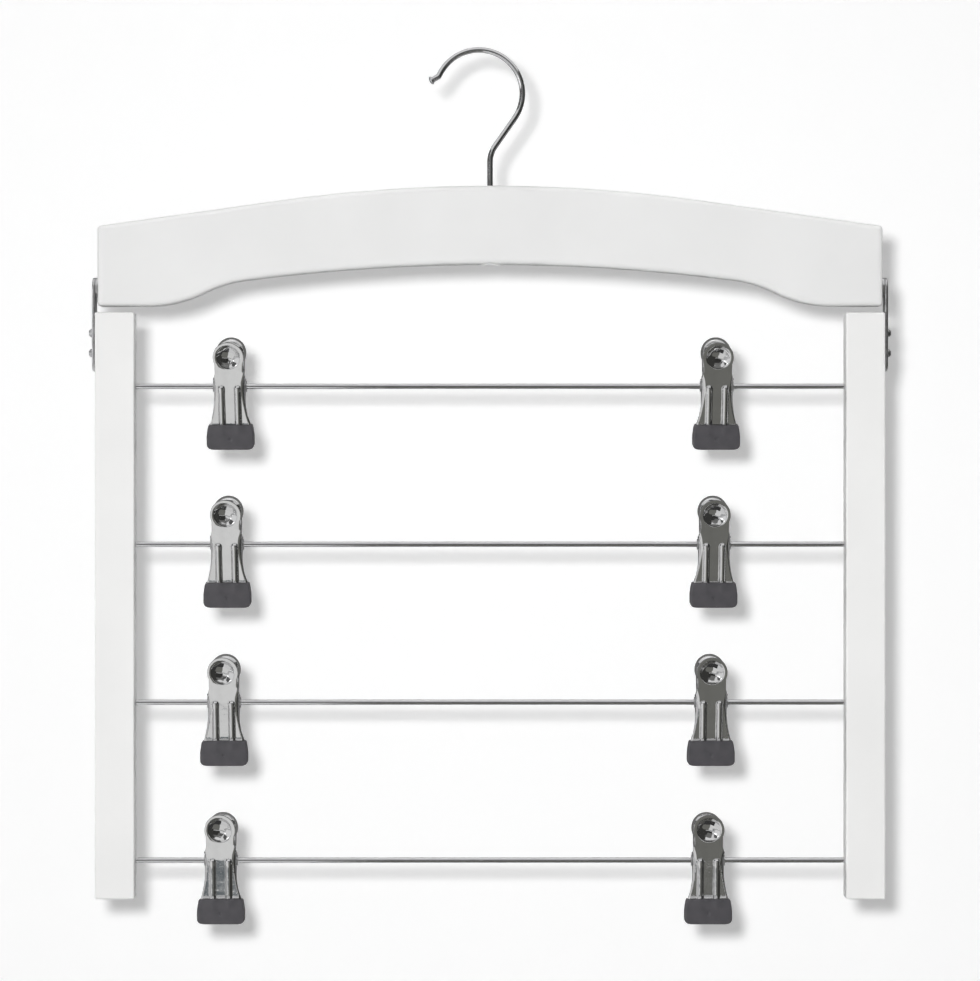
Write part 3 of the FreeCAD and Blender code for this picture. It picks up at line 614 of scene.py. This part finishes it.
def thicken(mesh, name):
    """Sheet metal of one thickness, with slightly rounded cut edges."""
    work = new_object(name + "_work", mesh)
    thick = work.modifiers.new("thickness", "SOLIDIFY")
    thick.thickness = SHEET * MM
    thick.offset = -1
    edge = work.modifiers.new("edge", "BEVEL")
    edge.width = CUT_EDGE * MM
    edge.segments = CUT_EDGE_STEPS
    edge.limit_method = "ANGLE"
    edge.angle_limit = CUT_EDGE_TURN
    return finished(work, name)


def finished(work, name):
    """The mesh of a working object with its modifiers applied; the working object goes away."""
    view = bpy.context.evaluated_depsgraph_get()
    result = bpy.data.meshes.new_from_object(work.evaluated_get(view))
    result.name = name
    bpy.data.objects.remove(work)
    result.shade_smooth()
    return result


# Tips

def corner_arc(centre, radius, first, count):
    """Points round a quarter of a circle."""
    points = []
    for k in range(count + 1):
        angle = first + math.pi / 2 * k / count
        points.append((centre[0] + radius * math.cos(angle), centre[1] + radius * math.sin(angle)))
    return points


def tip_half(z):
    """Half of a tip's width at a height: it spreads below the top and is rounded at the lower corners."""
    spread = min((TIP_TOP - z) / TIP_SPREAD, 1.0) ** TIP_SPREAD_POWER
    half = TIP_TOP_HALF + (TIP_HALF - TIP_TOP_HALF) * spread
    low = TIP_END + TIP_CORNER - z
    if low > 0:
        half -= TIP_CORNER - math.sqrt(max(TIP_CORNER ** 2 - low ** 2, 0.0))
    return half


def tip_ring(z, inset, side, front_count=96, back_count=12, corner_count=5, inner_count=3):
    """A tip's outline at a height, seen from above; inset draws it in at the rounded ends."""
    half = tip_half(z) - inset
    near = GRIP_HALF + inset * TIP_INNER_INSET
    far = TIP_OUT - inset
    soft = min(TIP_EDGE, (far - near) / TIP_EDGE_LIMIT)
    tight = min(TIP_INNER_EDGE, soft)
    front_long = 2 * half - 2 * soft
    back_long = 2 * half - 2 * tight
    front = [(half - soft - front_long * k / front_count, far) for k in range(1, front_count)]
    back = [(-half + tight + back_long * k / back_count, near) for k in range(1, back_count)]
    ring = corner_arc((half - soft, far - soft), soft, 0, corner_count) + front
    ring += corner_arc((soft - half, far - soft), soft, math.pi / 2, corner_count)
    ring += corner_arc((tight - half, near + tight), tight, math.pi, inner_count) + back
    ring += corner_arc((half - tight, near + tight), tight, 1.5 * math.pi, inner_count)
    return [tip_point(x, out, z, side) for x, out in ring]


def tip_point(x, out, z, side):
    """Swell a point of the sleeve where it is stretched over the ribs, and sink the small gate mark."""
    outer = soft_step((out - JAW_FOOT) / TIP_WALL)
    upper = soft_step((z - TIP_TOP + SWELL_LENGTH) / SWELL_LENGTH)
    over_rib = math.exp(-((abs(x) - RIB_PLACE) / SWELL_WIDTH) ** 2)
    crown = TIP_CROWN * (1 - (x / TIP_HALF) ** 2)
    gate = GATE_DEPTH * math.exp(-(x * x + (z - GATE_LEVEL) ** 2) / GATE_SPREAD)
    lip = soft_step((z - TIP_TOP + LIP_LENGTH) / LIP_LENGTH)
    lift = lip * (LIP_RISE * over_rib * outer - LIP_DROP * abs(x) / TIP_HALF)
    return (x, side * (out + outer * (crown + SWELL * upper * over_rib - gate)), z + lift)


def tip_mesh(name, side):
    """A soft sleeve as a closed, rounded block that the jaw runs into."""
    patch = Patch()
    levels = [(TIP_TOP - drop, inset) for drop, inset in TIP_LIP]
    levels += [(z, 0.0) for z in np.arange(HIDDEN_LEVEL, TIP_END + TIP_LAST_ROW, -TIP_ROW)]
    for k in range(1, TIP_FOOT_STEPS + 1):
        angle = math.pi / 2 * k / TIP_FOOT_STEPS
        rise, inset = 1 - math.sin(angle), 1 - math.cos(angle)
        levels.append((TIP_END + TIP_FOOT_ROUND * rise, TIP_FOOT_ROUND * inset))
    rows = [tip_ring(z, inset, side) for z, inset in levels]
    flip = side < 0
    patch.grid(rows, closed=True, flip=flip)
    patch.fan(middle(rows[0]), rows[0], flip=not flip)
    patch.fan(middle(rows[-1]), rows[-1], flip=flip)
    return patch.joined_mesh(name)


# Springs

def spring_path():
    """Middle line of the spring, a leg up each jaw with the coil between, and half of the coil's length."""
    reach = math.hypot(LEG_OUT, LEG_UP)
    leave = math.atan2(LEG_UP, LEG_OUT) - math.acos(SPRING_RADIUS / reach)
    start = math.pi - leave
    turns = SPRING_TURNS + leave / math.pi
    half = turns * SPRING_PITCH / 2
    steps = int(turns * TURN_STEPS)
    coil = []
    for k in range(steps + 1):
        angle = start + 2 * math.pi * turns * k / steps
        x = -half + 2 * half * k / steps
        coil.append(Vector((x, SPRING_RADIUS * math.cos(angle), SPRING_RADIUS * math.sin(angle))))
    legs = []
    drift = SPRING_PITCH / (2 * math.pi * SPRING_RADIUS) * math.sqrt(reach ** 2 - SPRING_RADIUS ** 2)
    for side, foot in ((-1, coil[0]), (1, coil[-1])):
        top = Vector((foot.x + side * drift, side * LEG_OUT, LEG_UP))
        legs.append([foot.lerp(top, k / LEG_STEPS) for k in range(1, LEG_STEPS + 1)])
    return legs[0][::-1] + coil + legs[1], half


def ring_round(centre, one, two, radius, sides):
    """Points on a circle round a centre, in the plane of two directions."""
    angles = [2 * math.pi * k / sides for k in range(sides)]
    return [centre + one * radius * math.cos(a) + two * radius * math.sin(a) for a in angles]


def tube(name, path, radius, sides=12):
    """A round wire along a path, with rounded ends."""
    patch = Patch()
    rows = []
    normal = Vector((1, 0, 0))
    last = len(path) - 1
    for k, point in enumerate(path):
        ahead = path[min(k + 1, last)] - path[max(k - 1, 0)]
        ahead.normalize()
        normal = (normal - ahead * normal.dot(ahead)).normalized()
        other = ahead.cross(normal)
        rows.append(ring_round(point, normal, other, radius, sides))
        if k in (0, last):
            way = -1 if k == 0 else 1
            ends = []
            for out, wide in END_RINGS:
                centre = point + ahead * way * radius * END_BULGE * out
                ends.append(ring_round(centre, normal, other, radius * wide, sides))
            rows = ends[::-1] + rows if k == 0 else rows + ends
    patch.grid(rows, closed=True)
    patch.fan(middle(rows[0]), rows[0], flip=True)
    patch.fan(middle(rows[-1]), rows[-1])
    return patch.joined_mesh(name)


# Clips

def clip_names():
    return [name[:-len("_rivet")] for name in frame["nodes"] if name.endswith("_rivet")]


def clip_pose(clip):
    """Where a clip hangs on its rod, and how far it leans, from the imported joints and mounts."""
    joint = next(j for j in frame["joints"] if j["name"] == f"{clip}_swing")
    mount = next(m for m in frame["record"]["mounts"] if m["name"] == f"{clip}_mouth")
    lean = math.atan2(mount["axis"][1], -mount["axis"][2])
    return Matrix.Translation(Vector(joint["pos_m"])) @ Matrix.Rotation(lean, 4, "X")


def add_piece(name, mesh, pose, look):
    """A piece with its finish, placed on its clip."""
    dress(mesh, look)
    piece = new_object(name, mesh)
    piece.matrix_world = pose
    return piece


def add_clips():
    """All clips; the eight of a kind share one mesh, but each spring has its own copy of the coil."""
    meshes = {
        "front_jaw": jaw_mesh("front_jaw", FRONT_SHOULDER, -1),
        "rear_jaw": jaw_mesh("rear_jaw", REAR_SHOULDER, 1),
        "front_tip": tip_mesh("front_tip", -1),
        "rear_tip": tip_mesh("rear_tip", 1),
    }
    path, half_coil = spring_path()
    coil = tube("spring", path, SPRING_WIRE / 2)
    for clip in clip_names():
        pose = clip_pose(clip)
        for part, mesh in meshes.items():
            look = "clip" if part.endswith("jaw") else "tip"
            piece = add_piece(f"{clip}_{part}_shape", mesh, pose, look)
            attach(piece, f"{clip}_{part.split('_')[0]}")
            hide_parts(f"{clip}_{part}")
        add_spring(clip, coil.copy(), pose)
    bpy.data.meshes.remove(coil)


def add_spring(clip, mesh, pose):
    """A spring on its clip, with its placing baked into its own mesh; the CAD spring is hidden."""
    spring = add_piece(f"{clip}_spring_shape", mesh, pose, "spring")
    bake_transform(spring)
    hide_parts(f"{clip}_spring")


# Backdrop

def bare_material(name):
    """A material with no shader yet."""
    material = bpy.data.materials.new(name)
    material.use_nodes = True
    nodes = material.node_tree.nodes
    nodes.remove(nodes["Principled BSDF"])
    return material, nodes, material.node_tree.links


def seen_rays(nodes, links):
    """One for rays that are seen, straight or in metal or glass, and nothing for light that bounces on."""
    path = nodes.new("ShaderNodeLightPath")
    total = path.outputs["Is Camera Ray"]
    for name in ("Is Glossy Ray", "Is Transmission Ray"):
        most = nodes.new("ShaderNodeMath")
        most.operation = "MAXIMUM"
        links.new(total, most.inputs[0])
        links.new(path.outputs[name], most.inputs[1])
        total = most.outputs[0]
    return total


def backdrop_paper():
    """White paper that keeps shadows and glows enough to look white; its back is clear."""
    material, nodes, links = bare_material("backdrop_paper")
    paper = nodes.new("ShaderNodeBsdfDiffuse")
    paper.inputs["Color"].default_value = (PAPER_WHITE, PAPER_WHITE, PAPER_WHITE, 1)
    glow = nodes.new("ShaderNodeEmission")
    glow.inputs["Color"].default_value = (1, 1, 1, 1)
    strength = nodes.new("ShaderNodeMath")
    strength.operation = "MULTIPLY"
    strength.inputs[1].default_value = PAPER_GLOW
    links.new(seen_rays(nodes, links), strength.inputs[0])
    links.new(strength.outputs[0], glow.inputs["Strength"])
    both = nodes.new("ShaderNodeAddShader")
    links.new(paper.outputs[0], both.inputs[0])
    links.new(glow.outputs[0], both.inputs[1])
    clear = nodes.new("ShaderNodeBsdfTransparent")
    side = nodes.new("ShaderNodeNewGeometry")
    choose = nodes.new("ShaderNodeMixShader")
    links.new(side.outputs["Backfacing"], choose.inputs["Fac"])
    links.new(both.outputs[0], choose.inputs[1])
    links.new(clear.outputs[0], choose.inputs[2])
    links.new(choose.outputs[0], nodes["Material Output"].inputs["Surface"])
    return material


def add_backdrop():
    """A white sheet that hangs behind the hanger and runs out below it; from behind it is clear."""
    profile = [(WALL, z) for z in (*WALL_ROWS, FLOOR + SWEEP)]
    for k in range(1, SWEEP_STEPS + 1):
        angle = math.pi / 2 * k / SWEEP_STEPS
        profile.append((WALL - SWEEP * (1 - math.cos(angle)), FLOOR + SWEEP * (1 - math.sin(angle))))
    profile.append((-BACKDROP_HALF, FLOOR))
    patch = Patch()
    patch.grid([[(x, y, z) for x in (-BACKDROP_HALF, BACKDROP_HALF)] for y, z in profile], flip=True)
    mesh = patch.plain_mesh("backdrop")
    mesh.shade_smooth()
    mesh.materials.append(backdrop_paper())
    sheet = new_object("backdrop", mesh)


# Light

def add_world():
    """Even soft light from all round, seen as a pale surround."""
    world = bpy.data.worlds.new("studio")
    bpy.context.scene.world = world
    world.use_nodes = True
    nodes, links = world.node_tree.nodes, world.node_tree.links
    level = nodes.new("ShaderNodeMapRange")
    level.inputs["To Min"].default_value = WORLD_LIGHT
    level.inputs["To Max"].default_value = WORLD_SEEN
    links.new(seen_rays(nodes, links), level.inputs["Value"])
    surround = nodes["Background"]
    surround.inputs["Color"].default_value = (1, 1, 1, 1)
    links.new(level.outputs["Result"], surround.inputs["Strength"])


def add_lamp(name, place, size, power):
    """A round lamp that faces the hanger and isn't mirrored in its metal."""
    data = bpy.data.lights.new(name, "AREA")
    data.shape = "DISK"
    data.size = size
    data.energy = power
    lamp = new_object(name, data)
    lamp.location = place
    lamp.rotation_euler = (Vector(LAMP_TARGET) - Vector(place)).to_track_quat("-Z", "Y").to_euler()
    lamp.visible_glossy = False


def add_card(name, place, turn, width, height, grey, for_metal=True):
    """A card as a photographer sets it: to be mirrored in bright plate, or to stop light off the floor."""
    patch = Patch()
    half, tall = width / 2, height / 2
    patch.grid([[(-half, 0, -tall), (half, 0, -tall)], [(-half, 0, tall), (half, 0, tall)]])
    mesh = patch.plain_mesh(name)
    material, nodes, links = bare_material(name)
    glow = nodes.new("ShaderNodeEmission")
    glow.inputs["Color"].default_value = (*grey, 1)
    links.new(glow.outputs[0], nodes["Material Output"].inputs["Surface"])
    mesh.materials.append(material)
    card = new_object(name, mesh)
    card.location = place
    card.rotation_euler = [math.radians(a) for a in turn]
    card.visible_camera = False
    card.visible_glossy = for_metal
    card.visible_diffuse = not for_metal
    card.visible_shadow = False
    card.visible_transmission = False


def add_lamps():
    """A small key lamp by the camera for the shadows, and three fills that light the sides and the top."""
    add_lamp("key", (-0.032, -1.456, -0.168), size=0.038, power=17.2)
    add_lamp("fill_left", (-2.2, 0.2, -0.1), size=0.3, power=12.0)
    add_lamp("fill_right", (2.2, 0.2, -0.1), size=0.3, power=6.0)
    add_lamp("fill_top", (-0.2, 0.15, 1.9), size=0.3, power=14.0)


def add_cards():
    """Cards for the metal, dark to the right and in front and paler to the left, and one for floor light."""
    upright, flat, sideways, slanting = (0, 0, 0), (90, 0, 0), (0, 0, 90), (0, 0, -45)
    low = FLOOR + CARD_OVER_FLOOR
    back = WALL - CARD_OFF_WALL
    add_card("dark_right", (0.9, -0.45, -0.2), sideways, 1.5, 1.7, (0.05, 0.05, 0.047))
    add_card("dark_front", (0.59, -1.75, -0.35), upright, 2.02, 0.74, (0.04, 0.04, 0.038))
    add_card("grey_front", (0.59, -1.75, 0.485), upright, 2.02, 0.93, (0.2, 0.2, 0.195))
    add_card("dark_line", (-0.75, -1.75, 0.2), upright, 0.78, 0.22, (0.08, 0.08, 0.08))
    add_card("dark_left", (-0.9, -0.45, 0.25), sideways, 1.5, 0.5, (0.12, 0.12, 0.12))
    add_card("dark_floor", (0.745, -1.35, low), flat, 1.75, 1.9, (0.19, 0.19, 0.175))
    add_card("pale_floor", (-0.88, -1.21, low), flat, 1.5, 1.44, (0.86, 0.86, 0.85))
    add_card("blue_floor", (-0.88, -2.09, low), flat, 1.5, 0.32, (0.16, 0.18, 0.19))
    add_card("dark_below", (0.45, -0.1, low), flat, 1.5, 0.6, (0.05, 0.05, 0.05))
    add_card("pale_below", (-1.1, -0.1, low), flat, 1.6, 0.76, (0.8, 0.8, 0.8))
    add_card("dark_back", (0.0, back, -0.1), upright, 1.6, 1.0, (0.2, 0.2, 0.2))
    add_card("bright_left", (-1.1, -1.0, 0.05), slanting, 0.3, 0.7, (2.6, 2.6, 2.6))
    add_card("floor_stop", (0.0, -0.9, low), flat, 2.4, 1.9, (0.1, 0.1, 0.1), for_metal=False)


def add_camera():
    data = bpy.data.cameras.new("camera")
    data.sensor_fit = "HORIZONTAL"
    data.lens = data.sensor_width * VIEW_DISTANCE / VIEW_WIDTH
    camera = new_object("camera", data)
    camera.location = (0, BAR_FRONT - VIEW_DISTANCE, VIEW_HEIGHT)
    camera.rotation_euler = (math.pi / 2, 0, 0)
    bpy.context.scene.camera = camera


dress_frame()
add_clips()
add_backdrop()
add_world()
add_lamps()
add_cards()
add_camera()
bpy.context.scene.view_settings.view_transform = "Standard"

bpy.context.view_layer.update()
